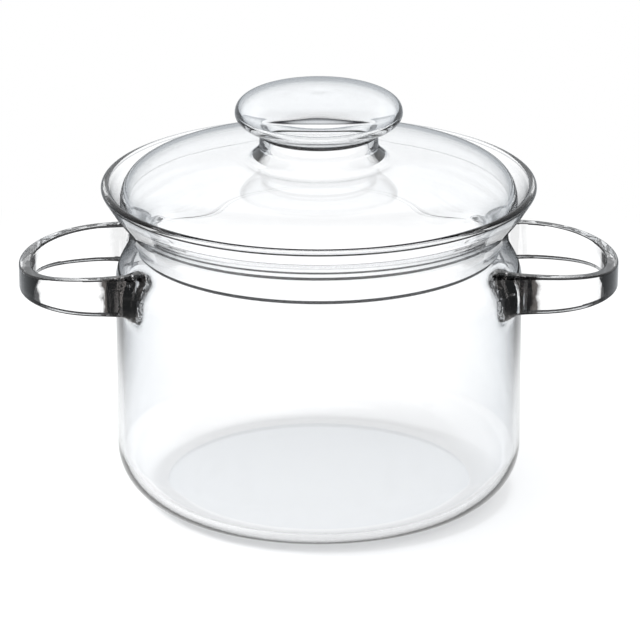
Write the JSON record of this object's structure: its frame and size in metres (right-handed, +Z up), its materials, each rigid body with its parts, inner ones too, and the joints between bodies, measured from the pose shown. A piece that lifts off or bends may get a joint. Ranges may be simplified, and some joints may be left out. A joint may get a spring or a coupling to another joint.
{
  "type": "glass cooking pot",
  "caption": "Clear glass stovetop pot with a rounded heel, a drawn-in neck under a flared collar, flat strap handles and a sunken domed lid with a hollow knob.",
  "frame": {"origin": "middle of the base, on the surface the pot stands on", "axes": "+Z up along the pot's axis, +X through the right-hand handle, -Y towards the viewer"},
  "size_m": [0.2506, 0.1812, 0.1749],
  "materials": {
    "pot_glass": "clear blown borosilicate glass, fire polished",
    "handle_glass": "clear drawn borosilicate strap, flame welded to the wall",
    "lid_glass": "clear blown borosilicate glass, fire polished",
    "knob_glass": "clear blown borosilicate bubble, sealed at its top"
  },
  "bodies": {
    "pot": {"pot_body": "pot_glass", "handle_left": "handle_glass", "handle_right": "handle_glass"},
    "lid": {"lid_shell": "lid_glass", "lid_knob": "knob_glass"}
  },
  "joints": [
    {"name": "lid_lift", "type": "slide", "parent": "pot", "child": "lid", "axis": [0, 0, 1], "range_m": [0, 0.08]}
  ]
}
